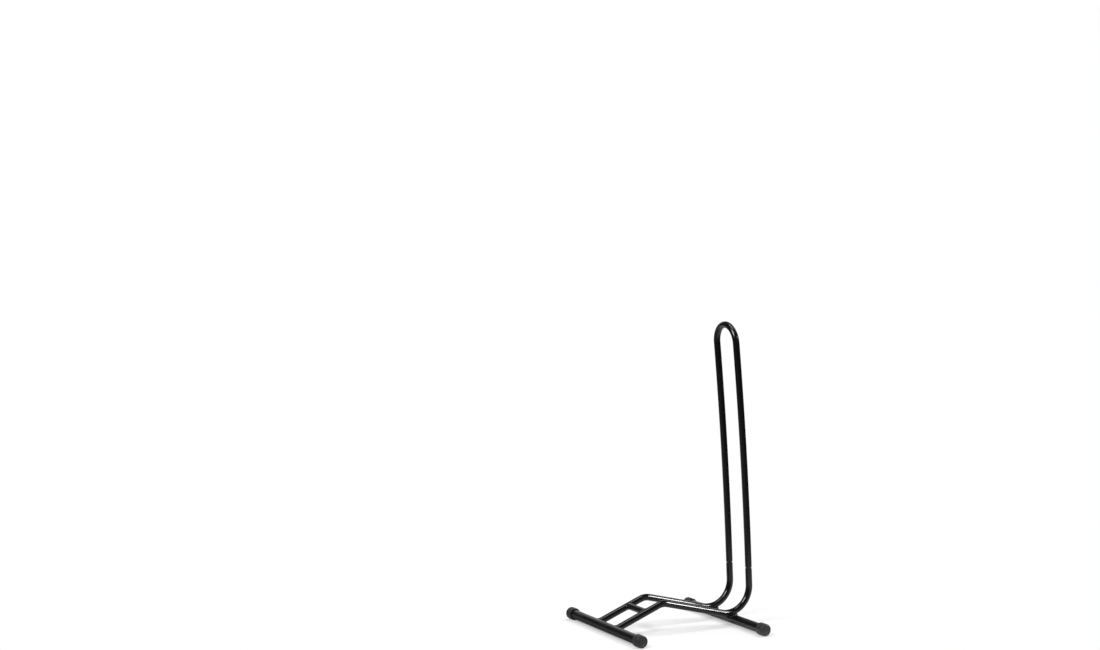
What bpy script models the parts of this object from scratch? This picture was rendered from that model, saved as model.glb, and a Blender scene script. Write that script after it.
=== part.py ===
"""Free-standing cradle of bent steel tube with an upright hoop.

Two cross feet with rubber caps carry a pair of bent rails, with a short rest tube between their
slopes. The rails end in open stubs, and a tall narrow hoop plugs into both and stands upright.

Metres, +Z up, +X towards the upright hoop, +Y to the left of someone who faces the hoop.
The origin is on the floor, under the middle of the outer box.
"""
import bmesh
import bpy
from math import cos, pi, radians, sin, sqrt, tan
from mathutils import Matrix, Vector

# Feet: the two tubes that lie across the stand
FOOT_SPACING = 0.360
FOOT_LENGTH = 0.392
FOOT_RADIUS = 0.0125
FOOT_WALL = 0.0015

# Caps: rubber cups pushed over the ends of the feet
CAP_WALL = 0.0032
CAP_END = 0.004
CAP_OVERLAP = 0.022
CAP_EDGE_ROUND = 0.003
CAP_LIP_ROUND = 0.001

# Tube of the rails, the rest and the hoop
TUBE_RADIUS = 0.009
TUBE_WALL = 0.0012

# Rails: from the front foot up a slope, over a hump, down to the rear foot and up to the stubs
RAIL_SPACING = 0.096
RAIL_SLOPE = radians(23.0)
RAIL_DESCENT = radians(12.5)
HUMP_RADIUS = 0.045
BEND_RADIUS = 0.068
SEAT_ANGLE = radians(16.0)
STUB_LEAN = radians(3.0)
STUB_SPARE = 0.0025

# Rest: the cross tube between the two slopes, measured up the slope from the front foot
REST_DISTANCE = 0.100

# Hoop: the inverted U whose swaged ends plug into the stubs
HOOP_HEIGHT = 0.8025
HOOP_BOW = radians(3.0)
SPIGOT_LENGTH = 0.040
SWAGE_LENGTH = 0.0065

# Welds: the bead of metal round each joint, whose middle stands off the tubes
WELD_RADIUS = 0.0026
WELD_STANDOFF = 0.0010
WELD_LIFT = 0.0015

# Fits
SEAT_GAP = 0.0003
PLUG_CLEARANCE = 0.0003

# Roundness
FOOT_SIDES = 32
TUBE_SIDES = 20
HUMP_STEPS = 6
BEND_STEPS = 12
BOW_STEPS = 6
CROWN_STEPS = 16
ROUND_STEPS = 3
WELD_POINTS = 24
WELD_BEVEL_STEPS = 2
SMOOTH_ANGLE = radians(40.0)

# Sizes and places that follow from those above
CAP_RADIUS = FOOT_RADIUS + SEAT_GAP + CAP_WALL
CAP_FLAT = CAP_RADIUS * cos(pi / FOOT_SIDES)
TUBE_FLAT = TUBE_RADIUS * cos(pi / TUBE_SIDES)
TUBE_BORE = TUBE_RADIUS - TUBE_WALL
SEAT_DISTANCE = FOOT_RADIUS + SEAT_GAP + TUBE_RADIUS + BEND_RADIUS
BEND_BEHIND = FOOT_SPACING - SEAT_DISTANCE * sin(SEAT_ANGLE)
REAR_REACH = max(BEND_BEHIND + BEND_RADIUS + TUBE_FLAT, FOOT_SPACING + CAP_FLAT)
FRONT_FOOT = Vector(((CAP_FLAT - REAR_REACH) / 2, 0, CAP_FLAT))
REAR_FOOT = FRONT_FOOT + Vector((FOOT_SPACING, 0, 0))
SEAT_NORMAL = Vector((-sin(SEAT_ANGLE), 0, cos(SEAT_ANGLE)))
BEND_CENTRE = REAR_FOOT + SEAT_DISTANCE * SEAT_NORMAL
REST_CENTRE = FRONT_FOOT + REST_DISTANCE * Vector((cos(RAIL_SLOPE), 0, sin(RAIL_SLOPE)))


class Route:
    """A tube's centreline in an upright plane, drawn as straight runs and bends.

    frames holds one matrix for each ring of the tube, with its Z along the tube.
    """

    def __init__(self, x, z, heading):
        self.x, self.z, self.heading = x, z, heading
        self.frames = []
        self.mark()

    def mark(self):
        place = Matrix.Translation((self.x, 0, self.z))
        self.frames.append(place @ Matrix.Rotation(pi / 2 - self.heading, 4, "Y"))

    def run(self, length):
        self.x += length * cos(self.heading)
        self.z += length * sin(self.heading)
        self.mark()

    def bend(self, radius, angle, steps):
        """Turn by angle, which is positive where the tube turns upwards."""
        side = radius if angle > 0 else -radius
        centre_x = self.x - side * sin(self.heading)
        centre_z = self.z + side * cos(self.heading)
        for _ in range(steps):
            self.heading += angle / steps
            self.x = centre_x + side * sin(self.heading)
            self.z = centre_z - side * cos(self.heading)
            self.mark()


def shifted(frames, y):
    return [Matrix.Translation((0, y, 0)) @ frame for frame in frames]


def paint(name, colour, roughness):
    material = bpy.data.materials.new(name)
    material.use_nodes = True
    shader = material.node_tree.nodes["Principled BSDF"]
    shader.inputs["Base Color"].default_value = (*colour, 1.0)
    shader.inputs["Roughness"].default_value = roughness
    shader.inputs["Metallic"].default_value = 0.0
    return material


def finished_mesh(name, bm):
    bmesh.ops.recalc_face_normals(bm, faces=bm.faces)
    mesh = bpy.data.meshes.new(name)
    bm.to_mesh(mesh)
    bm.free()
    mesh.shade_smooth()
    mesh.set_sharp_from_angle(angle=SMOOTH_ANGLE)
    return mesh


def add_object(name, mesh, material, matrix=Matrix()):
    if not mesh.materials:
        mesh.materials.append(material)
    piece = bpy.data.objects.new(name, mesh)
    piece.matrix_world = matrix
    bpy.context.scene.collection.objects.link(piece)
    return piece


def ring(bm, frame, radius, sides):
    """A loop of vertices with a flat side, not a corner, towards the frame's X and Y."""
    angles = [2 * pi * (k + 0.5) / sides for k in range(sides)]
    return [bm.verts.new(frame @ Vector((radius * cos(a), radius * sin(a), 0))) for a in angles]


def join_rings(bm, first, second):
    for k in range(len(first)):
        after = (k + 1) % len(first)
        bm.faces.new((first[k], first[after], second[after], second[k]))


def hollow_tube(rings, sides):
    """A tube through rings of (frame, outer radius, bore radius), open at both ends."""
    bm = bmesh.new()
    outer = [ring(bm, frame, radius, sides) for frame, radius, _ in rings]
    inner = [ring(bm, frame, bore, sides) for frame, _, bore in rings]
    for wall in (outer, inner):
        for first, second in zip(wall, wall[1:]):
            join_rings(bm, first, second)
    join_rings(bm, outer[0], inner[0])
    join_rings(bm, outer[-1], inner[-1])
    return finished_mesh("tube", bm)


def solid_rod(frames, radius, sides):
    bm = bmesh.new()
    rings = [ring(bm, frame, radius, sides) for frame in frames]
    for first, second in zip(rings, rings[1:]):
        join_rings(bm, first, second)
    bm.faces.new(rings[0])
    bm.faces.new(rings[-1])
    return finished_mesh("rod", bm)


def turned(profile, sides):
    """A solid of revolution about Z from points of (radius, height), both ends on the axis."""
    bm = bmesh.new()
    corners = [bm.verts.new((radius, 0, height)) for radius, height in profile]
    edges = [bm.edges.new(pair) for pair in zip(corners, corners[1:])]
    half_step = Matrix.Rotation(pi / sides, 3, "Z")
    bmesh.ops.rotate(bm, verts=corners, cent=(0, 0, 0), matrix=half_step)
    bmesh.ops.spin(bm, geom=corners + edges, cent=(0, 0, 0), axis=(0, 0, 1), angle=2 * pi, steps=sides)
    bmesh.ops.remove_doubles(bm, verts=bm.verts, dist=1e-6)
    return finished_mesh("turned", bm)


def quarter_round(centre, radius, start):
    """Points of (radius, height) along a quarter of a circle, counted up from an angle."""
    angles = [start + pi / 2 * k / ROUND_STEPS for k in range(ROUND_STEPS + 1)]
    return [(centre[0] + radius * cos(a), centre[1] + radius * sin(a)) for a in angles]


def cutter(name, mesh):
    tool = add_object(name, mesh, STEEL)
    tool.hide_render = True
    tool.display_type = "WIRE"
    return tool


def cut(piece, tool):
    modifier = piece.modifiers.new("cut by " + tool.name, "BOOLEAN")
    modifier.operation = "DIFFERENCE"
    modifier.solver = "EXACT"
    modifier.object = tool


def across(centre, length):
    """The two end frames of a tube that lies along Y through centre."""
    turn = Matrix.Rotation(-pi / 2, 4, "X")
    return [Matrix.Translation(centre + Vector((0, y, 0))) @ turn for y in (-length / 2, length / 2)]


def foot(name, centre):
    rings = [(frame, FOOT_RADIUS, FOOT_RADIUS - FOOT_WALL) for frame in across(centre, FOOT_LENGTH)]
    add_object(name, hollow_tube(rings, FOOT_SIDES), STEEL)
    envelope = solid_rod(across(centre, FOOT_LENGTH), FOOT_RADIUS + SEAT_GAP, FOOT_SIDES)
    return cutter(name + "_cutter", envelope)


def cap_mesh():
    """A cup with its mouth at height 0 and its closed end on top."""
    floor = CAP_OVERLAP + SEAT_GAP
    top = floor + CAP_END
    bore = CAP_RADIUS - CAP_WALL
    lip = min(CAP_LIP_ROUND, CAP_WALL / 3)
    edge = min(CAP_EDGE_ROUND, CAP_WALL, CAP_END)
    profile = [(0, floor), (bore, floor)]
    profile += quarter_round((bore + lip, lip), lip, pi)
    profile += quarter_round((CAP_RADIUS - lip, lip), lip, 1.5 * pi)
    profile += quarter_round((CAP_RADIUS - edge, top - edge), edge, 0)
    profile.append((0, top))
    return turned(profile, FOOT_SIDES)


def caps(end, centre):
    mesh = cap_mesh()
    for side, sign in (("left", 1), ("right", -1)):
        mouth = centre + Vector((0, sign * (FOOT_LENGTH / 2 - CAP_OVERLAP), 0))
        outward = Matrix.Rotation(-sign * pi / 2, 4, "X")
        add_object(f"{end}_{side}_cap", mesh, RUBBER, Matrix.Translation(mouth) @ outward)


def rail_route():
    """From the front foot's axis over the hump to the seat on the rear foot and up the stub.

    The slope and the descent are prolonged to the corner where they meet, and the hump trims
    the same length off both.
    """
    toe_x = BEND_CENTRE.x - BEND_RADIUS * sin(RAIL_DESCENT) - FRONT_FOOT.x
    toe_z = BEND_CENTRE.z - BEND_RADIUS * cos(RAIL_DESCENT) - FRONT_FOOT.z
    hump = RAIL_SLOPE + RAIL_DESCENT
    climb = (toe_x * sin(RAIL_DESCENT) + toe_z * cos(RAIL_DESCENT)) / sin(hump)
    fall = (toe_x * sin(RAIL_SLOPE) - toe_z * cos(RAIL_SLOPE)) / sin(hump)
    trim = HUMP_RADIUS * tan(hump / 2)
    route = Route(FRONT_FOOT.x, FRONT_FOOT.z, RAIL_SLOPE)
    route.run(climb - trim)
    route.bend(HUMP_RADIUS, -hump, HUMP_STEPS)
    route.run(fall - trim)
    route.bend(BEND_RADIUS, RAIL_DESCENT + pi / 2, BEND_STEPS)
    route.bend(BEND_RADIUS, STUB_LEAN, 1)
    route.run(SPIGOT_LENGTH + STUB_SPARE)
    return route


def rail(name, frames, foot_cutter):
    rings = [(frame, TUBE_RADIUS, TUBE_BORE) for frame in frames]
    cut(add_object(name, hollow_tube(rings, TUBE_SIDES), STEEL), foot_cutter)
    return cutter(name + "_cutter", solid_rod(frames, TUBE_RADIUS + SEAT_GAP, TUBE_SIDES))


def tyre_rest(rail_cutters):
    frames = across(REST_CENTRE, RAIL_SPACING)
    rings = [(frame, TUBE_RADIUS, TUBE_BORE) for frame in frames]
    rest = add_object("tyre_rest", hollow_tube(rings, TUBE_SIDES), STEEL)
    for tool in rail_cutters:
        cut(rest, tool)
    return cutter("tyre_rest_cutter", solid_rod(frames, TUBE_RADIUS + SEAT_GAP, TUBE_SIDES))


def leg_route(rim):
    """A leg of the hoop in the plug joint's frame, with its heading straight up that frame."""
    crown_rise = RAIL_SPACING / 2 * cos(STUB_LEAN + HOOP_BOW)
    bow_foot = rim.translation.z + SWAGE_LENGTH * cos(STUB_LEAN)
    rise = HOOP_HEIGHT - TUBE_RADIUS - crown_rise - bow_foot
    leg = Route(0, -SPIGOT_LENGTH, pi / 2)
    leg.run(SPIGOT_LENGTH)
    leg.run(SWAGE_LENGTH)
    leg.bend(rise / (sin(STUB_LEAN + HOOP_BOW) - sin(STUB_LEAN)), HOOP_BOW, BOW_STEPS)
    return leg


def hoop(rim):
    """The hoop slides on the plug joints: its Z runs along them, and its origin is between the rims."""
    radius = RAIL_SPACING / 2
    leg = leg_route(rim).frames
    right = shifted(leg, -radius)
    crown = []
    for k in range(1, CROWN_STEPS):
        turn = Matrix.Rotation(-pi * k / CROWN_STEPS, 4, "X")
        crown.append(leg[-1] @ turn @ Matrix.Translation((0, -radius, 0)))
    downwards = Matrix.Rotation(-pi, 4, "X")
    left = [frame @ downwards for frame in reversed(shifted(leg, radius))]
    spigot = TUBE_BORE - PLUG_CLEARANCE
    rings = [(frame, TUBE_RADIUS, TUBE_BORE) for frame in right + crown + left]
    for k in (0, 1, -2, -1):
        rings[k] = (rings[k][0], spigot, spigot - TUBE_WALL)
    add_object("hoop", hollow_tube(rings, TUBE_SIDES), STEEL, rim)


def bead(name, centres, tools):
    """A round bead along a closed loop of points, cut back to the two tubes that it joins."""
    curve = bpy.data.curves.new(name, "CURVE")
    curve.dimensions = "3D"
    curve.bevel_depth = WELD_RADIUS
    curve.bevel_resolution = WELD_BEVEL_STEPS
    spline = curve.splines.new("POLY")
    spline.points.add(len(centres) - 1)
    for point, centre in zip(spline.points, centres):
        point.co = (*centre, 1.0)
    spline.use_cyclic_u = True
    guide = bpy.data.objects.new(name + "_guide", curve)
    mesh = bpy.data.meshes.new_from_object(guide)
    bpy.data.objects.remove(guide)
    mesh.shade_smooth()
    piece = add_object(name, mesh, STEEL)
    for tool in tools:
        cut(piece, tool)


def butt_loop(frame, main_radius):
    """Points round the end of a rail or rest on the tube that it is welded to.

    The frame's origin is on that tube's axis, its X along that axis and its Z along the welded one.
    """
    loop_radius = TUBE_RADIUS + WELD_STANDOFF
    surface = main_radius + WELD_LIFT
    points = []
    for k in range(WELD_POINTS):
        angle = 2 * pi * k / WELD_POINTS
        aside = loop_radius * sin(angle)
        out = sqrt(max(surface ** 2 - aside ** 2, 0))
        points.append(frame @ Vector((loop_radius * cos(angle), aside, out)))
    return points


def crossing_loop(frame):
    """Points in the valley round the contact of a rail with the rear foot, which it crosses.

    The frame's origin is the contact, its X runs along the rail and its Z points from foot to rail.
    """
    reach_x = sqrt(FOOT_RADIUS * WELD_RADIUS * 2) + WELD_STANDOFF
    reach_y = sqrt(TUBE_RADIUS * WELD_RADIUS * 2) + WELD_STANDOFF
    points = []
    for k in range(WELD_POINTS):
        angle = 2 * pi * k / WELD_POINTS
        x = reach_x * cos(angle)
        y = reach_y * sin(angle)
        height = y ** 2 / (4 * TUBE_RADIUS) - x ** 2 / (4 * FOOT_RADIUS)
        points.append(frame @ Vector((x, y, height)))
    return points


def welds(side, y, front_cutter, rear_cutter, rest_cutter, rail_cutter):
    """The three beads of one rail: on the front foot, on the rear foot and round the rest."""
    front = Matrix.Translation(FRONT_FOOT + Vector((0, y, 0))) @ Matrix.Rotation(pi / 2 - RAIL_SLOPE, 4, "Y")
    along_foot = front @ Matrix.Rotation(pi / 2, 4, "Z")
    bead(f"front_{side}_weld", butt_loop(along_foot, FOOT_RADIUS), (front_cutter, rail_cutter))

    contact = REAR_FOOT + (FOOT_RADIUS + SEAT_GAP / 2) * SEAT_NORMAL + Vector((0, y, 0))
    seat = Matrix.Translation(contact) @ Matrix.Rotation(-SEAT_ANGLE, 4, "Y")
    bead(f"rear_{side}_weld", crossing_loop(seat), (rear_cutter, rail_cutter))

    along_rail = Matrix.Translation(REST_CENTRE + Vector((0, y, 0))) @ Matrix.Rotation(-RAIL_SLOPE, 4, "Y")
    inward = Matrix.Rotation(pi / 2 if y > 0 else -pi / 2, 4, "X")
    bead(f"rest_{side}_weld", butt_loop(along_rail @ inward, TUBE_RADIUS), (rest_cutter, rail_cutter))


for old in list(bpy.data.objects):
    bpy.data.objects.remove(old)

STEEL = paint("black painted steel", (0.006, 0.006, 0.0065), 0.18)
RUBBER = paint("dark grey rubber", (0.030, 0.030, 0.031), 0.50)
SIDES = {"left": RAIL_SPACING / 2, "right": -RAIL_SPACING / 2}

front_foot_cutter = foot("front_foot", FRONT_FOOT)
rear_foot_cutter = foot("rear_foot", REAR_FOOT)
caps("front", FRONT_FOOT)
caps("rear", REAR_FOOT)

route = rail_route()
rail_cutters = {side: rail(f"{side}_rail", shifted(route.frames, y), front_foot_cutter)
                for side, y in SIDES.items()}
tyre_rest_cutter = tyre_rest(rail_cutters.values())
hoop(route.frames[-1])

for side, y in SIDES.items():
    welds(side, y, front_foot_cutter, rear_foot_cutter, tyre_rest_cutter, rail_cutters[side])
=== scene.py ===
"""Looks of a free-standing cradle of bent steel tube with an upright hoop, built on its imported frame.

Metres, +Z up, +X towards the hoop, +Y to the left of someone who faces it.
"""
from math import cos, pi, radians, sin, sqrt, tan

import bmesh
import bpy
from mathutils import Matrix, Vector


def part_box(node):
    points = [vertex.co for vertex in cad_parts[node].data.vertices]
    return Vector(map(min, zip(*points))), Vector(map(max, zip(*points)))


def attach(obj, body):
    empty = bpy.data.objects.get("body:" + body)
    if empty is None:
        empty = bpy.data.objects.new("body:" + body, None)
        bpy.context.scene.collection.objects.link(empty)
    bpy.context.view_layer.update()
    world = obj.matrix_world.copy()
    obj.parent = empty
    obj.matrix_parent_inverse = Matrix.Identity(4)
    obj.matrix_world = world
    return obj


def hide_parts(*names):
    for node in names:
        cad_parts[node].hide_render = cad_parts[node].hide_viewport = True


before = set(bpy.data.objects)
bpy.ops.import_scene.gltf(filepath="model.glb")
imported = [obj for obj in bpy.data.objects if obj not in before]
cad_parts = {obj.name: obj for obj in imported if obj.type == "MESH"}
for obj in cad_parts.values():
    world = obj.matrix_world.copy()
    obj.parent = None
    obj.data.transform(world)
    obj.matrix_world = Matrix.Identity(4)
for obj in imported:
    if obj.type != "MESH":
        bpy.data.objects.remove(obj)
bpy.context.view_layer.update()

# The camera
# It looks at the stand from a little above the height of its hoop, in front and to one side and over
# four metres away, with the stand in the lower right of a wide frame.
CAMERA_PLACE = (-2.1878, -3.8181, 0.9132)
CAMERA_HEADING = radians(25.5327)
CAMERA_DIP = radians(1.6071)
CAMERA_ROLL = radians(0.5353)
CAMERA_LENS = 54.96
CAMERA_SENSOR = 36.0

lens = bpy.data.cameras.new("camera")
lens.lens = CAMERA_LENS
lens.sensor_width = CAMERA_SENSOR
camera = bpy.data.objects.new("camera", lens)
bpy.context.scene.collection.objects.link(camera)
aim = Matrix.Rotation(-CAMERA_HEADING, 4, "Z") @ Matrix.Rotation(pi / 2 - CAMERA_DIP, 4, "X")
camera.matrix_world = Matrix.Translation(CAMERA_PLACE) @ aim @ Matrix.Rotation(CAMERA_ROLL, 4, "Z")
bpy.context.scene.camera = camera
bpy.context.scene.view_settings.view_transform = "Standard"


# The studio
# White paper lies under the stand and runs up behind it, and nothing shows on it but the stand's own
# soft shadow. The room in front of the paper and beside it is dark, so that gloss black shows thin
# lines on near black.
FLOOR_REACH = 8.0
PAPER_TONE = (0.82, 0.82, 0.82, 1.0)
DARK_TONE = (0.15, 0.15, 0.15, 1.0)

# Near the stand the camera sees the floor's light and shade with a share of white in it, and farther
# out plain white
SHADED_REACH = 0.42
WHITE_REACH = 0.75
FLOOR_GLOW = 0.42

# The paper's edges on the floor, from the stand's middle as the camera faces it. The floor beyond
# them is dark.
PAPER_FRONT = 0.72
PAPER_LEFT = 2.0
PAPER_RIGHT = 1.0
PAPER_FADE = 0.3

# Painted shade: how much darker gloss sees the paper round the stand, and the place along X where a
# deeper painted shadow lies beside the front foot, on the side away from the hoop
PAPER_GLOSS_SHADE = 0.35
SHADE_DULLING = 0.93
SHADE_START = -0.165
SHADE_END = -0.205

# The paper behind the stand, as gloss sees it, and the dark room above it and beside it
PAPER_GLEAM = 0.75
ROOM_LIGHT = 0.06
PAPER_TOP = radians(27.0)
PAPER_HALF_WIDTH = radians(35.0)
PAPER_EDGE_FADE = radians(10.0)


class Wire:
    """An output in a node tree. A sum with it adds Math nodes, and node() adds a node of any kind."""

    def __init__(self, tree, socket=None):
        self.tree = tree
        self.socket = socket

    def node(self, kind, settings=None, inputs=None, output=0):
        """Adds a node, sets it up, and gives each input its value, its wire or its list of wires."""
        made = self.tree.nodes.new(kind)
        for name, setting in (settings or {}).items():
            setattr(made, name, setting)
        for name, value in (inputs or {}).items():
            for item in value if isinstance(value, list) else [value]:
                if isinstance(item, Wire):
                    self.tree.links.new(item.socket, made.inputs[name])
                else:
                    made.inputs[name].default_value = item
        return Wire(self.tree, made.outputs[output] if len(made.outputs) else None)

    def maths(self, operation, *values):
        return self.node("ShaderNodeMath", {"operation": operation}, dict(enumerate(values)))

    def __add__(self, other):
        return self.maths("ADD", self, other)

    def __sub__(self, other):
        return self.maths("SUBTRACT", self, other)

    def __rsub__(self, other):
        return self.maths("SUBTRACT", other, self)

    def __mul__(self, other):
        return self.maths("MULTIPLY", self, other)

    __radd__ = __add__
    __rmul__ = __mul__


def new_finish(name):
    """A material with an empty tree, and a wire to build it from."""
    material = bpy.data.materials.new(name)
    material.use_nodes = True
    material.node_tree.nodes.clear()
    return material, Wire(material.node_tree)


def close_finish(shader):
    """Ends a material's tree with its shader."""
    shader.node("ShaderNodeOutputMaterial", inputs={"Surface": shader})


def ray(tree, kind):
    """1 for rays of a kind, such as Camera, and 0 for the rest."""
    return tree.node("ShaderNodeLightPath", output=f"Is {kind} Ray")


def reach(tree, place, heading):
    """How far a point or a direction goes along a level heading, which is 0 along +Y."""
    way = (sin(heading), cos(heading), 0)
    return tree.node("ShaderNodeVectorMath", {"operation": "DOT_PRODUCT"}, {
        0: place, 1: way}, output="Value")


def fade(tree, value, start, end, low=0.0, high=1.0):
    """Goes smoothly from low to high as the value goes from start to end."""
    return tree.node("ShaderNodeMapRange", {"interpolation_type": "SMOOTHSTEP"}, {
        "Value": value, "From Min": start, "From Max": end, "To Min": low, "To Max": high})


def mixed(tree, share, first, second):
    """A colour that goes from first to second as the share goes from 0 to 1."""
    return tree.node("ShaderNodeMix", {"data_type": "RGBA"}, {
        "Factor": share, "A": first, "B": second}, output="Result")


floor_finish, tree = new_finish("white_floor")
place = tree.node("ShaderNodeTexCoord", output="Object")
distance = tree.node("ShaderNodeVectorMath", {"operation": "LENGTH"}, {0: place}, output="Value")
behind = reach(tree, place, CAMERA_HEADING)
right = reach(tree, place, CAMERA_HEADING + pi / 2)
along = reach(tree, place, pi / 2)
paper = (fade(tree, behind, -PAPER_FRONT - PAPER_FADE, -PAPER_FRONT)
         * fade(tree, right, -PAPER_LEFT - PAPER_FADE, -PAPER_LEFT)
         * fade(tree, right, PAPER_RIGHT + PAPER_FADE, PAPER_RIGHT))
# Painted shade and shadow: gloss sees the paper darker round the stand, and darker still beside the
# front foot
gloss_shade = fade(tree, along, SHADE_START, SHADE_END, PAPER_GLOSS_SHADE, SHADE_DULLING)
tone = mixed(tree, paper * (1.0 - gloss_shade * ray(tree, "Glossy")), DARK_TONE, PAPER_TONE)
glow = fade(tree, distance, SHADED_REACH, WHITE_REACH, FLOOR_GLOW, 1.0)
run_up = fade(tree, behind, SHADED_REACH, WHITE_REACH)
seen_white = glow * (ray(tree, "Camera") + ray(tree, "Transmission"))
gloss_white = PAPER_GLEAM * run_up * paper * ray(tree, "Glossy")
lit = tree.node("ShaderNodeBsdfDiffuse", inputs={"Color": tone})
white = tree.node("ShaderNodeEmission", inputs={"Strength": 1.0})
close_finish(tree.node("ShaderNodeMixShader", inputs={0: seen_white + gloss_white, 1: lit, 2: white}))

corners = [(x * FLOOR_REACH, y * FLOOR_REACH, 0) for x, y in ((-1, -1), (1, -1), (1, 1), (-1, 1))]
floor_mesh = bpy.data.meshes.new("floor")
floor_mesh.from_pydata(corners, [], [(0, 1, 2, 3)])
floor_mesh.materials.append(floor_finish)
floor = bpy.data.objects.new("floor", floor_mesh)
bpy.context.scene.collection.objects.link(floor)

world = bpy.data.worlds.new("studio")
world.use_nodes = True
world.node_tree.nodes.clear()
bpy.context.scene.world = world
air = Wire(world.node_tree)
towards = air.node("ShaderNodeTexCoord", output="Generated")
height = air.node("ShaderNodeSeparateXYZ", inputs={0: towards}, output="Z")
facing = reach(air, towards, CAMERA_HEADING)
width_fade = fade(air, facing, cos(PAPER_HALF_WIDTH + PAPER_EDGE_FADE), cos(PAPER_HALF_WIDTH))
top_fade = fade(air, height, sin(PAPER_TOP + PAPER_EDGE_FADE), sin(PAPER_TOP))
backdrop = ROOM_LIGHT + (PAPER_GLEAM - ROOM_LIGHT) * (width_fade * top_fade)
eye = ray(air, "Camera") + ray(air, "Transmission")
sky = air.node("ShaderNodeBackground", inputs={
    "Color": (1, 1, 1, 1), "Strength": air.maths("MAXIMUM", backdrop, eye)})
air.node("ShaderNodeOutputWorld", inputs={"Surface": sky})


def lamp(name, place, target, width, height, power, plain=True, gloss=True):
    """A soft box at a place, turned to face a target. The camera sees its light but not the box.

    Plain light brightens the paper and the stand's own colours. Gloss is the line it draws on paint.
    """
    light = bpy.data.lights.new(name, "AREA")
    light.shape = "RECTANGLE"
    light.size = width
    light.size_y = height
    light.energy = power
    box = bpy.data.objects.new(name, light)
    turn = (Vector(target) - Vector(place)).to_track_quat("-Z", "Y").to_matrix().to_4x4()
    box.matrix_world = Matrix.Translation(place) @ turn
    box.visible_camera = False
    box.visible_diffuse = plain
    box.visible_glossy = gloss
    bpy.context.scene.collection.objects.link(box)
    return box


# Six soft boxes: two draw only lines on the paint, two do both, and two give only plain light
STAND_MIDDLE = (0.0, 0.0, 0.3)
GRID_SPREAD = radians(24.0)

lamp("top_lamp", place=(-0.2, 0.0, 2.7), target=(-0.2, 0.0, 0.0), width=1.0, height=1.3, power=15,
     plain=False)
grid_lamp = lamp("right_lamp", place=(1.95, -1.80, 1.48), target=(-0.1, 0.1, -0.4), width=0.7,
                 height=1.0, power=2.9, plain=False)
grid_lamp.data.spread = GRID_SPREAD
lamp("back_right_lamp", place=(2.5, 0.5, 2.7), target=STAND_MIDDLE, width=1.5, height=0.85, power=10)
lamp("left_lamp", place=(-1.91, -0.75, 2.15), target=STAND_MIDDLE, width=1.1, height=1.25, power=62)
lamp("mid_lamp", place=(1.4, 0.5, 2.7), target=(1.1, 0.0, 0.3), width=2.4, height=1.5, power=64,
     gloss=False)
lamp("fill_lamp", place=(0.0, 0.0, 3.4), target=STAND_MIDDLE, width=4.0, height=4.0, power=27,
     gloss=False)


# The two cross feet
# Straight lengths of round steel tube, sawn square at the ends, one across the front and one across
# the back. They are coated black with the rest of the steel and lie in their rubber caps.
PAINT_COLOUR = (0.0045, 0.0045, 0.0050, 1.0)
PAINT_ROUGHNESS = 0.16
CLOUD_SCALE = 38.0
CLOUD_ROUGHNESS = 0.07
HAZE_SCALE = 13.0
HAZE_START = 0.56
HAZE_END = 0.74
HAZE_ROUGHNESS = 0.16
PEEL_SCALE = 620.0
PEEL_HEIGHT = 0.000004
BARE_STEEL = (0.30, 0.29, 0.28, 1.0)
BARE_ROUGHNESS = 0.38
STREAK_STRETCH = (1400.0, 1400.0, 60.0)
STREAK_START = 0.50
STREAK_END = 0.62
FOOT_WALL = 0.0015
FOOT_SIDES = 96
SAWN_EDGE = 0.0002
EDGE_STEPS = 2
EDGE_ANGLE = radians(60.0)
RING_GAP = 0.0012
MERGE_DISTANCE = 0.000001
SHARP_ANGLE = radians(38.0)


def noise(tree, place, scale, detail):
    """A cloudy pattern about 0.5, finer as the scale grows, with smaller clouds in it for detail."""
    return tree.node("ShaderNodeTexNoise", inputs={"Vector": place, "Scale": scale, "Detail": detail})


def swing(pattern, amount):
    """How far a pattern strays to either side of its middle, times an amount."""
    return (pattern - 0.5) * amount


def grained(tree, pattern, height):
    """The way a skin faces with a pattern of small dips of that height in it."""
    return tree.node("ShaderNodeBump", inputs={"Height": pattern, "Distance": height, "Strength": 1.0})


black_paint, tree = new_finish("black_paint")
place = tree.node("ShaderNodeTexCoord", output="Object")
clouds = noise(tree, place, CLOUD_SCALE, detail=3.0)
haze = fade(tree, noise(tree, place, HAZE_SCALE, detail=6.0), HAZE_START, HAZE_END)
stretched = tree.node("ShaderNodeVectorMath", {"operation": "MULTIPLY"}, {0: place, 1: STREAK_STRETCH})
streaks = noise(tree, stretched, scale=1.0, detail=2.0)
rubbed = tree.node("ShaderNodeAttribute", {"attribute_name": "rubbed"}, output="Fac")
bare = rubbed * fade(tree, streaks, STREAK_START, STREAK_END)
peel = noise(tree, place, PEEL_SCALE, detail=2.0)
coat = PAINT_ROUGHNESS + swing(clouds, CLOUD_ROUGHNESS) + haze * HAZE_ROUGHNESS
close_finish(tree.node("ShaderNodeBsdfPrincipled", inputs={
    "Base Color": mixed(tree, bare, PAINT_COLOUR, BARE_STEEL),
    "Metallic": bare,
    "Roughness": coat + bare * (BARE_ROUGHNESS - PAINT_ROUGHNESS),
    "Normal": grained(tree, peel, PEEL_HEIGHT)}))


def shape_tree(name, sizes):
    """A Geometry Nodes tree with a path and these named sizes going in, and wires to build it from."""
    tree = bpy.data.node_groups.new(name, "GeometryNodeTree")
    tree.interface.new_socket("Path", in_out="INPUT", socket_type="NodeSocketGeometry")
    for size, kind in sizes.items():
        tree.interface.new_socket(size, in_out="INPUT", socket_type="NodeSocket" + kind)
    tree.interface.new_socket("Shape", in_out="OUTPUT", socket_type="NodeSocketGeometry")
    entry = tree.nodes.new("NodeGroupInput")
    return tree, {socket.name: Wire(tree, socket) for socket in entry.outputs if socket.name}


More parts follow.
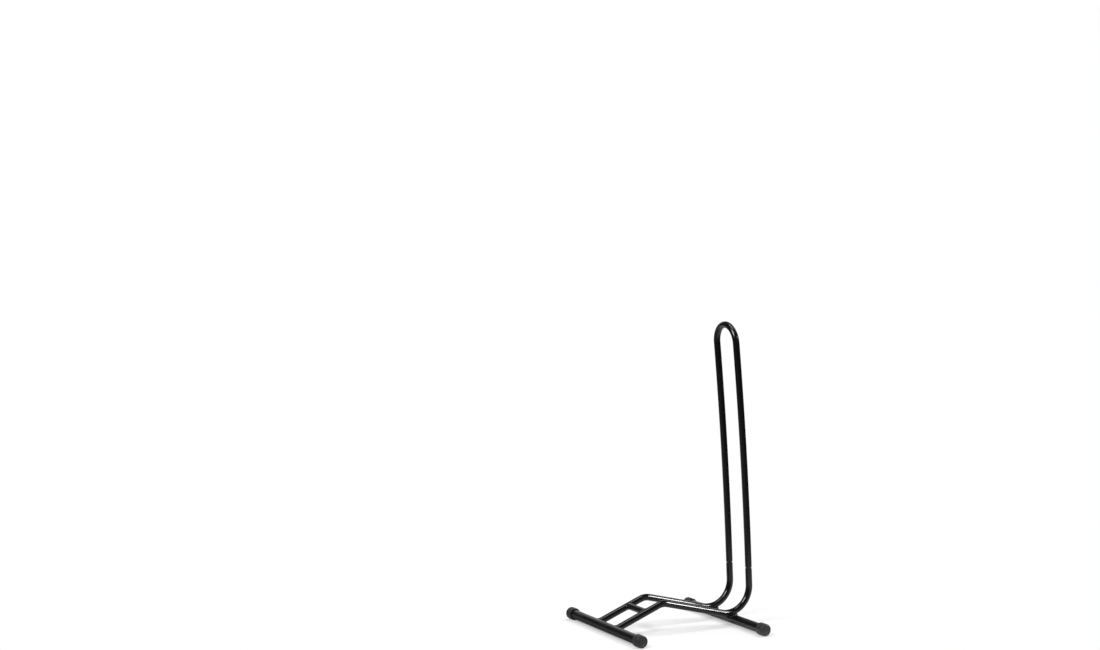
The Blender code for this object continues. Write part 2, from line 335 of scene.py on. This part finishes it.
def close_shape(shape, finish):
    """Ends a shape's tree: smooth, real all through and coated with a finish."""
    smooth = shape.node("GeometryNodeSetShadeSmooth", inputs={"Geometry": shape})
    real = shape.node("GeometryNodeRealizeInstances", inputs={"Geometry": smooth})
    coated = shape.node("GeometryNodeSetMaterial", inputs={"Geometry": real, "Material": finish})
    shape.node("NodeGroupOutput", inputs={"Shape": coated})


def tube_tree():
    """A hollow tube along a path: its outer skin, and the same skin pushed in and turned round."""
    tree, sizes = shape_tree("drawn_tube", {
        "Radius": "Float", "Wall": "Float", "Sides": "Int", "Finish": "Material"})
    line = sizes["Path"].node("GeometryNodeMeshToCurve", inputs={"Mesh": sizes["Path"]})
    circle = line.node("GeometryNodeCurvePrimitiveCircle", inputs={
        "Resolution": sizes["Sides"], "Radius": sizes["Radius"]})
    drawn = line.node("GeometryNodeInputNamedAttribute", {"data_type": "FLOAT"}, {"Name": "drawn"})
    skin = line.node("GeometryNodeCurveToMesh", inputs={
        "Curve": line, "Profile Curve": circle, "Scale": drawn})
    bore = line.node("GeometryNodeExtrudeMesh", {"mode": "FACES"}, {
        "Mesh": skin, "Offset Scale": sizes["Wall"] * -1.0, "Individual": False})
    bore = line.node("GeometryNodeFlipFaces", inputs={"Mesh": bore})
    both = line.node("GeometryNodeJoinGeometry", inputs={"Geometry": [skin, bore]})
    whole = line.node("GeometryNodeMergeByDistance", inputs={
        "Geometry": both, "Distance": MERGE_DISTANCE})
    close_shape(whole, sizes["Finish"])
    return tree


def ringed(points):
    """The points of a path with one more set close inside each end.

    Close rings keep the soft corner of a sawn end from bending the shading of the long run next to it.
    """
    line = [Vector(point) for point in points]
    first_step = (line[1] - line[0]).normalized() * RING_GAP
    last_step = (line[-2] - line[-1]).normalized() * RING_GAP
    return [line[0], line[0] + first_step, *line[1:-1], line[-1] + last_step, line[-1]]


def path_piece(name, points, closed=False, **values):
    """An object of points and edges alone, with named values at its points.

    The value drawn is the share of its full radius that a tube has there.
    """
    count = len(points)
    edges = [(k, (k + 1) % count) for k in range(count if closed else count - 1)]
    mesh = bpy.data.meshes.new(name)
    mesh.from_pydata(points, edges, [])
    for key, numbers in {"drawn": [1.0] * count, **values}.items():
        mesh.attributes.new(key, "FLOAT", "POINT").data.foreach_set("value", numbers)
    piece = bpy.data.objects.new(name, mesh)
    bpy.context.scene.collection.objects.link(piece)
    return piece


def shape(piece, tree, sizes):
    """Gives a piece's path the shape that a tree makes at these named sizes."""
    modifier = piece.modifiers.new(tree.name, "NODES")
    modifier.node_group = tree
    for item in tree.interface.items_tree:
        if item.name in sizes:
            modifier[item.identifier] = sizes[item.name]


def draw_tube(piece, radius, wall, sides):
    """Makes a piece's path a hollow black tube."""
    shape(piece, DRAWN_TUBE, {"Radius": radius, "Wall": wall, "Sides": sides, "Finish": black_paint})


def ease_edges(piece):
    """Takes the sharp corner off sawn ends."""
    modifier = piece.modifiers.new("eased_edges", "BEVEL")
    modifier.width = SAWN_EDGE
    modifier.segments = EDGE_STEPS
    modifier.limit_method = "ANGLE"
    modifier.angle_limit = EDGE_ANGLE


def settle(piece, body, slot, *nodes):
    """Turns a piece with modifiers into a plain mesh that stands for its nodes and rides on a body."""
    depsgraph = bpy.context.evaluated_depsgraph_get()
    mesh = bpy.data.meshes.new_from_object(piece.evaluated_get(depsgraph))
    piece.modifiers.clear()
    piece.data = mesh
    bm = bmesh.new()
    bm.from_mesh(mesh)
    bmesh.ops.recalc_face_normals(bm, faces=bm.faces)
    bm.to_mesh(mesh)
    bm.free()
    mesh.shade_smooth()
    mesh.set_sharp_from_angle(angle=SHARP_ANGLE)
    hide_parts(*nodes)
    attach(piece, body)


def middle(node):
    """The middle of a node's box."""
    low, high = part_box(node)
    return (low + high) / 2


DRAWN_TUBE = tube_tree()
foot_low, foot_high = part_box("front_foot")
FOOT_RADIUS = (foot_high.z - foot_low.z) / 2
foot_half = Vector((0, (foot_high.y - foot_low.y) / 2, 0))

for end in ("front", "rear"):
    centre = middle(f"{end}_foot")
    foot = path_piece(f"{end}_foot_tube", ringed([centre - foot_half, centre + foot_half]))
    draw_tube(foot, FOOT_RADIUS, FOOT_WALL, FOOT_SIDES)
    ease_edges(foot)
    settle(foot, "base", "black_paint", f"{end}_foot")


# The four caps
# Moulded rubber cups, pushed tight over the ends of the feet, with a soft edge all round the closed
# end and a thin rounded lip at the mouth. Their matt skin has a fine grain from the mould, and near
# the floor a lighter band that is partly dust and partly painted light bounced up from the floor.
RUBBER_DARK = (0.016, 0.016, 0.017, 1.0)
RUBBER_PALE = (0.024, 0.024, 0.025, 1.0)
RUBBER_ROUGHNESS = 0.42
PATCH_SCALE = 120.0
PATCH_ROUGHNESS = 0.15
GRAIN_SCALE = 1000.0
GRAIN_HEIGHT = 0.00006
# Dust near the floor, in a lighter colour that is also painted light bounced up from the floor
DUST_AND_BOUNCE_LIGHT_COLOUR = (0.110, 0.108, 0.104, 1.0)
DUST_AND_BOUNCE_LIGHT_TOP = 0.018
DUST_AND_BOUNCE_LIGHT_START = 0.2
DUST_AND_BOUNCE_LIGHT_END = 0.8
DUST_ROUGHNESS = 0.25
CAP_WALL = 0.0032
CAP_END = 0.004
CAP_DOME = 0.0008
CAP_EDGE_ROUND = 0.0032
CAP_LIP_ROUND = 0.0010
CAP_SIDES = 96
ROUND_STEPS = 8
DOME_STEPS = 6
LEFT_RIGHT = {"left": 1, "right": -1}

grey_rubber, tree = new_finish("grey_rubber")
place = tree.node("ShaderNodeTexCoord", output="Object")
height = tree.node("ShaderNodeSeparateXYZ", inputs={0: place}, output="Z")
patches = noise(tree, place, PATCH_SCALE, detail=4.0)
grain = noise(tree, place, GRAIN_SCALE, detail=2.0)
# Painted light: the caps are painted lighter towards the floor, as dust and as light bounced up from it
dust_and_bounce_light = fade(tree, height, DUST_AND_BOUNCE_LIGHT_TOP, 0.0) * fade(tree, patches, DUST_AND_BOUNCE_LIGHT_START, DUST_AND_BOUNCE_LIGHT_END)
clean = mixed(tree, patches, RUBBER_DARK, RUBBER_PALE)
close_finish(tree.node("ShaderNodeBsdfPrincipled", inputs={
    "Base Color": mixed(tree, dust_and_bounce_light, clean, DUST_AND_BOUNCE_LIGHT_COLOUR),
    "Roughness": RUBBER_ROUGHNESS + swing(patches, PATCH_ROUGHNESS) + dust_and_bounce_light * DUST_ROUGHNESS,
    "Normal": grained(tree, grain, GRAIN_HEIGHT)}))


def quarter(centre_r, centre_h, radius, start):
    """Points of (radius, height) along a quarter of a circle, counted up from an angle."""
    angles = [start + pi / 2 * k / ROUND_STEPS for k in range(ROUND_STEPS + 1)]
    return [(centre_r + radius * cos(a), centre_h + radius * sin(a)) for a in angles]


def cap_profile(radius, length):
    """A cup's section with its mouth at height 0, from the inner floor round to the domed end."""
    bore = radius - CAP_WALL
    floor_height = length - CAP_END
    lip = CAP_LIP_ROUND
    edge = CAP_EDGE_ROUND
    flat = radius - edge
    rim_height = length - CAP_DOME
    profile = [(0, floor_height), (bore, floor_height)]
    profile += quarter(bore + lip, lip, lip, pi)
    profile += quarter(radius - lip, lip, lip, 1.5 * pi)
    profile += quarter(flat, rim_height - edge, edge, 0)
    for k in range(1, DOME_STEPS + 1):
        r = flat * (1 - k / DOME_STEPS)
        profile.append((r, rim_height + CAP_DOME * (1 - (r / flat) ** 2)))
    return profile


def turned_mesh(name, profile, sides):
    """A solid of revolution about Z from points of (radius, height), both ends on the axis."""
    bm = bmesh.new()
    corners = [bm.verts.new((r, 0, h)) for r, h in profile]
    edges = [bm.edges.new(pair) for pair in zip(corners, corners[1:])]
    bmesh.ops.spin(bm, geom=corners + edges, cent=(0, 0, 0), axis=(0, 0, 1), angle=2 * pi, steps=sides)
    bmesh.ops.remove_doubles(bm, verts=bm.verts, dist=MERGE_DISTANCE)
    mesh = bpy.data.meshes.new(name)
    bm.to_mesh(mesh)
    bm.free()
    return mesh


for end in ("front", "rear"):
    for side, sign in LEFT_RIGHT.items():
        node = f"{end}_{side}_cap"
        low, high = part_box(node)
        centre = (low + high) / 2
        length = high.y - low.y
        mesh = turned_mesh(node, cap_profile((high.z - low.z) / 2, length), CAP_SIDES)
        mouth = Vector((centre.x, centre.y - sign * length / 2, centre.z))
        mesh.transform(Matrix.Translation(mouth) @ Matrix.Rotation(-sign * pi / 2, 4, "X"))
        mesh.materials.append(grey_rubber)
        cap = bpy.data.objects.new(f"{node}_rubber", mesh)
        bpy.context.scene.collection.objects.link(cap)
        settle(cap, "base", "grey_rubber", node)


# The two bent rails
# Round steel tube, bent cold in one plane. Each leaves the front foot up a slope, goes over a hump,
# comes down onto the rear foot and turns up into a short open stub, whose rim is rubbed bare.
RAIL_SLOPE = radians(23.0)
RAIL_DESCENT = radians(12.5)
HUMP_RADIUS = 0.045
BEND_RADIUS = 0.068
STUB_LEAN = radians(3.0)
STUB_LENGTH = 0.0425
TUBE_WALL = 0.0012
TUBE_SIDES = 72
BEND_STEP = radians(2.5)
COPE_GAP = 0.0001

rail_low, rail_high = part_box("left_rail")
TUBE_RADIUS = (rail_high.y - rail_low.y) / 2
RAIL_ASIDE = (rail_high.y + rail_low.y) / 2
front = middle("front_foot")
rear = middle("rear_foot")


def bend_points(centre, radius, start, end):
    """Points of (x, z) along a bend, from one angle about its centre to another."""
    steps = round(abs(end - start) / BEND_STEP)
    angles = [start + (end - start) * k / steps for k in range(steps + 1)]
    return [(centre[0] + radius * cos(a), centre[1] + radius * sin(a)) for a in angles]


def rail_line():
    """The rail's centreline as points of (x, z), with its straight runs tangent to both bends.

    The climb is the slope's length up to the corner where it would meet the descent, and the hump
    trims that corner off.
    """
    hump_turn = RAIL_SLOPE + RAIL_DESCENT
    bend_x = rail_high.x - TUBE_RADIUS - BEND_RADIUS
    rim_z = rail_high.z - TUBE_RADIUS * sin(STUB_LEAN)
    bend_z = rim_z - STUB_LENGTH * cos(STUB_LEAN) - BEND_RADIUS * sin(STUB_LEAN)
    toe_x = bend_x - BEND_RADIUS * sin(RAIL_DESCENT) - front.x
    toe_z = bend_z - BEND_RADIUS * cos(RAIL_DESCENT) - front.z
    climb = (toe_x * sin(RAIL_DESCENT) + toe_z * cos(RAIL_DESCENT)) / sin(hump_turn)
    run = climb - HUMP_RADIUS * tan(hump_turn / 2)
    hump_x = front.x + run * cos(RAIL_SLOPE) + HUMP_RADIUS * sin(RAIL_SLOPE)
    hump_z = front.z + run * sin(RAIL_SLOPE) - HUMP_RADIUS * cos(RAIL_SLOPE)
    line = [(front.x, front.z)]
    line += bend_points((hump_x, hump_z), HUMP_RADIUS, pi / 2 + RAIL_SLOPE, pi / 2 - RAIL_DESCENT)
    line += bend_points((bend_x, bend_z), BEND_RADIUS, -pi / 2 - RAIL_DESCENT, STUB_LEAN)
    stub_x, stub_z = line[-1]
    line.append((stub_x - STUB_LENGTH * sin(STUB_LEAN), stub_z + STUB_LENGTH * cos(STUB_LEAN)))
    return line


def cope(piece, start, end, radius):
    """Saws a tube's end to sit on a round bar that runs from start to end, and returns that bar."""
    length = (end - start).length
    bar = turned_mesh("bar", [(0, 0), (radius, 0), (radius, length), (0, length)], FOOT_SIDES)
    turn = (end - start).to_track_quat("Z", "Y").to_matrix().to_4x4()
    bar.transform(Matrix.Translation(start) @ turn)
    tool = bpy.data.objects.new("bar", bar)
    bpy.context.scene.collection.objects.link(tool)
    modifier = piece.modifiers.new("coped", "BOOLEAN")
    modifier.operation = "DIFFERENCE"
    modifier.solver = "EXACT"
    modifier.object = tool
    return tool


RAIL_LINE = rail_line()
for side, sign in LEFT_RIGHT.items():
    points = ringed([(x, sign * RAIL_ASIDE, z) for x, z in RAIL_LINE])
    rail = path_piece(f"{side}_bent_rail", points, rubbed=[0.0] * (len(points) - 1) + [1.0])
    draw_tube(rail, TUBE_RADIUS, TUBE_WALL, TUBE_SIDES)
    ease_edges(rail)
    bar = cope(rail, front - foot_half, front + foot_half, FOOT_RADIUS + COPE_GAP)
    settle(rail, "base", "black_paint", f"{side}_rail")
    bpy.data.objects.remove(bar)


# The rest tube
# A short straight tube between the two slopes, coped at both ends to sit on the rails' round sides
# and welded there all round.
COPE_REACH = 0.03

rest = middle("tyre_rest")
rest_half = Vector((0, RAIL_ASIDE, 0))
slope = Vector((cos(RAIL_SLOPE), 0, sin(RAIL_SLOPE)))
rest_tube = path_piece("tyre_rest_tube", ringed([rest - rest_half, rest + rest_half]))
draw_tube(rest_tube, TUBE_RADIUS, TUBE_WALL, TUBE_SIDES)
bars = []
for sign in LEFT_RIGHT.values():
    joint = rest + sign * rest_half
    bars.append(cope(rest_tube, joint - slope * COPE_REACH, joint + slope * COPE_REACH,
                     TUBE_RADIUS + COPE_GAP))
settle(rest_tube, "base", "black_paint", "tyre_rest")
for bar in bars:
    bpy.data.objects.remove(bar)


# The hoop
# One long tube bent into a narrow upside-down U with a slight bow. Its two ends are drawn down
# smaller and drop into the rails' open stubs, where the shoulders rest on the rims. The plugs are
# rubbed bare in streaks.
HOOP_BOW = radians(3.0)
PLUG_LENGTH = 0.040
SHOULDER_LENGTH = 0.0065
PLUG_CLEARANCE = 0.0003
SHOULDER_STEPS = 14
SHOULDER_RINGS = (RING_GAP, 4 * RING_GAP)
BOW_STEPS = 24
CROWN_STEPS = 60

hoop_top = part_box("hoop")[1].z
rim_x, rim_z = RAIL_LINE[-1]


def hoop_line():
    """Points from plug to plug, round by the right leg, and the share of the full radius at each.

    A leg is a plug, a shoulder, two close rings over it and a long bow up to the crown.
    """
    plug_share = (TUBE_RADIUS - TUBE_WALL - PLUG_CLEARANCE) / TUBE_RADIUS
    line = []
    shares = []

    def add_stub_point(rise, share):
        line.append((rim_x - rise * sin(STUB_LEAN), rim_z + rise * cos(STUB_LEAN)))
        shares.append(share)

    for rise in (-PLUG_LENGTH, RING_GAP - PLUG_LENGTH, -PLUG_LENGTH / 2, -RING_GAP):
        add_stub_point(rise, plug_share)
    for k in range(SHOULDER_STEPS + 1):
        growth = (1 - cos(pi * k / SHOULDER_STEPS)) / 2
        add_stub_point(SHOULDER_LENGTH * k / SHOULDER_STEPS, plug_share + (1 - plug_share) * growth)

    lean = STUB_LEAN + HOOP_BOW
    crown_z = hoop_top - TUBE_RADIUS - RAIL_ASIDE * cos(lean)
    foot_x, foot_z = line[-1]
    bow_radius = (crown_z - foot_z) / (sin(lean) - sin(STUB_LEAN))
    centre_x = foot_x - bow_radius * cos(STUB_LEAN)
    centre_z = foot_z - bow_radius * sin(STUB_LEAN)
    turns = [gap / bow_radius for gap in SHOULDER_RINGS]
    turns += [HOOP_BOW * k / BOW_STEPS for k in range(1, BOW_STEPS + 1)]
    for turn in turns:
        angle = STUB_LEAN + turn
        line.append((centre_x + bow_radius * cos(angle), centre_z + bow_radius * sin(angle)))
        shares.append(1.0)

    right = [Vector((x, -RAIL_ASIDE, z)) for x, z in line]
    left = [Vector((x, RAIL_ASIDE, z)) for x, z in reversed(line)]
    top = Vector((line[-1][0], 0, line[-1][1]))
    outwards = Vector((-sin(lean), 0, cos(lean)))
    crown = []
    for k in range(1, CROWN_STEPS):
        angle = pi * k / CROWN_STEPS
        crown.append(top + RAIL_ASIDE * (outwards * sin(angle) - Vector((0, cos(angle), 0))))
    return right + crown + left, shares + [1.0] * len(crown) + shares[::-1]


points, shares = hoop_line()
rubbed = [1.0 if point.z < rim_z else 0.0 for point in points]
hoop = path_piece("hoop_tube", points, drawn=shares, rubbed=rubbed)
draw_tube(hoop, TUBE_RADIUS, TUBE_WALL, TUBE_SIDES)
ease_edges(hoop)
settle(hoop, "hoop", "black_paint", "hoop")


# The welds
# A fillet of steel runs round each joint, laid down as a row of small overlapping pools and coated
# with the rest. One is on each rail's front end, one in its seat on the rear foot, one at the rest.
WELD_WIDTH = 0.0034
WELD_THROAT = 0.0024
WELD_THINNING = 0.62
SEAT_BEAD = 0.0026
SEAT_REACH = 0.0006
SEAT_ANGLE = radians(16.0)
WELD_POINTS = 64
BEAD_SIDES = 24
RIPPLE_PITCH = 0.0019
RIPPLE_DEPTH = 0.00024
RIPPLE_LAG = 0.45
RINGS_PER_POOL = 8
WANDER = 0.24
WANDER_SCALE = 160.0
FRONT_SEED = 1
REAR_SEED = 4
REST_SEED = 7


def bead_tree():
    """A closed bead along a loop, thinner along the vectors named face, with a crescent for each pool.

    The value named swell is the share of its full size that the bead has at each point.
    """
    tree, sizes = shape_tree("weld_bead", {
        "Width": "Float", "Throat": "Float", "Pools": "Float", "Depth": "Float", "Lag": "Float",
        "Wander": "Float", "Seed": "Float", "Rings": "Int", "Sides": "Int", "Finish": "Material"})

    path = sizes["Path"]

    def kept(geometry, name, value):
        settings = {"data_type": "FLOAT", "domain": "POINT"}
        return path.node("GeometryNodeStoreNamedAttribute", settings, {
            "Geometry": geometry, "Name": name, "Value": value})

    def named(name, kind="FLOAT"):
        return path.node("GeometryNodeInputNamedAttribute", {"data_type": kind}, {"Name": name})

    line = path.node("GeometryNodeMeshToCurve", inputs={"Mesh": path})
    line = line.node("GeometryNodeResampleCurve", inputs={"Curve": line, "Count": sizes["Rings"]})
    line = line.node("GeometryNodeSetCurveNormal", {"mode": "FREE"}, {
        "Curve": line, "Normal": named("face", "FLOAT_VECTOR")})
    factor = line.node("GeometryNodeSplineParameter", output="Factor")
    line = kept(line, "along", factor)
    drift = line.node("ShaderNodeTexNoise", {"noise_dimensions": "4D"}, {
        "Vector": line.node("GeometryNodeInputPosition"), "W": sizes["Seed"], "Scale": WANDER_SCALE})
    circle = line.node("GeometryNodeCurvePrimitiveCircle", inputs={
        "Resolution": sizes["Sides"], "Radius": 1.0})
    oval = line.node("ShaderNodeCombineXYZ", inputs={
        "X": sizes["Throat"], "Y": sizes["Width"], "Z": 1.0})
    section = line.node("GeometryNodeTransform", inputs={"Geometry": circle, "Scale": oval})
    bead = line.node("GeometryNodeCurveToMesh", inputs={
        "Curve": line, "Profile Curve": kept(section, "round", factor),
        "Scale": named("swell") * (1.0 + swing(drift, sizes["Wander"]))})
    lag = sizes["Lag"] * line.maths("COSINE", named("round") * (2 * pi))
    wave = line.maths("SINE", (named("along") * sizes["Pools"] + lag) * pi)
    dip = line.node("ShaderNodeVectorMath", {"operation": "SCALE"}, {
        0: line.node("GeometryNodeInputNormal"),
        "Scale": sizes["Depth"] * (line.maths("ABSOLUTE", wave) - 1.0)})
    rippled = line.node("GeometryNodeSetPosition", inputs={"Geometry": bead, "Offset": dip})
    close_shape(rippled, sizes["Finish"])
    return tree


def butt_loop(joint, along, out, ends_radius, runs_radius):
    """The corner round the end of a tube on another that runs past it, the way it faces and its swell.

    The two axes meet at joint. The bead is thinnest where the tubes' sides run into each other.
    """
    across = out.cross(along)
    points = []
    faces = []
    swells = []
    for k in range(WELD_POINTS):
        angle = 2 * pi * k / WELD_POINTS
        away = along * cos(angle) + across * sin(angle)
        aside = ends_radius * sin(angle)
        rise = sqrt(max(runs_radius ** 2 - aside ** 2, 0))
        points.append(joint + away * ends_radius + out * rise)
        faces.append((away + (across * aside + out * rise) / runs_radius).normalized())
        swells.append(1 - WELD_THINNING * (aside / runs_radius) ** 2)
    return points, faces, swells


def seat_loop(contact, along, out, foot_radius, tube_radius):
    """The valley round the contact of a rail that crosses a foot, the way it faces and its swell.

    It lies halfway between the two, a little outside the place where the gap that opens between them
    is as wide as the bead's radius.
    """
    across = out.cross(along)
    reach_x = sqrt(foot_radius * SEAT_BEAD * 2) + SEAT_REACH
    reach_y = sqrt(tube_radius * SEAT_BEAD * 2) + SEAT_REACH
    points = []
    faces = []
    for k in range(WELD_POINTS):
        angle = 2 * pi * k / WELD_POINTS
        x = reach_x * cos(angle)
        y = reach_y * sin(angle)
        height = y ** 2 / (4 * tube_radius) - x ** 2 / (4 * foot_radius)
        points.append(contact + along * x + across * y + out * height)
        faces.append((along * cos(angle) + across * sin(angle)).normalized())
    return points, faces, [1.0] * WELD_POINTS


def weld(node, loop, width, throat, seed):
    """Lays a bead along a loop, with a whole number of pools."""
    points, faces, swells = loop
    around = sum((a - b).length for a, b in zip(points, points[1:] + points[:1]))
    pools = round(around / RIPPLE_PITCH)
    bead = path_piece(f"{node}_bead", points, closed=True, swell=swells)
    ways = bead.data.attributes.new("face", "FLOAT_VECTOR", "POINT")
    ways.data.foreach_set("vector", [part for way in faces for part in way])
    shape(bead, WELD_BEAD, {
        "Width": width, "Throat": throat, "Pools": float(pools), "Depth": RIPPLE_DEPTH,
        "Lag": RIPPLE_LAG, "Wander": WANDER, "Seed": float(seed), "Rings": pools * RINGS_PER_POOL,
        "Sides": BEAD_SIDES, "Finish": black_paint})
    settle(bead, "base", "black_paint", node)


WELD_BEAD = bead_tree()
foot_along = Vector((0, 1, 0))
seat_out = Vector((-sin(SEAT_ANGLE), 0, cos(SEAT_ANGLE)))
seat_along = Vector((cos(SEAT_ANGLE), 0, sin(SEAT_ANGLE)))
for side, sign in LEFT_RIGHT.items():
    aside = Vector((0, sign * RAIL_ASIDE, 0))
    inwards = Vector((0, -sign, 0))
    front_loop = butt_loop(front + aside, foot_along, slope, TUBE_RADIUS, FOOT_RADIUS)
    rear_loop = seat_loop(rear + aside + seat_out * FOOT_RADIUS, seat_along, seat_out, FOOT_RADIUS,
                          TUBE_RADIUS)
    rest_loop = butt_loop(rest + aside, slope, inwards, TUBE_RADIUS, TUBE_RADIUS)
    weld(f"front_{side}_weld", front_loop, WELD_WIDTH, WELD_THROAT, FRONT_SEED + sign)
    weld(f"rear_{side}_weld", rear_loop, SEAT_BEAD, SEAT_BEAD, REAR_SEED + sign)
    weld(f"rest_{side}_weld", rest_loop, WELD_WIDTH, WELD_THROAT, REST_SEED + sign)
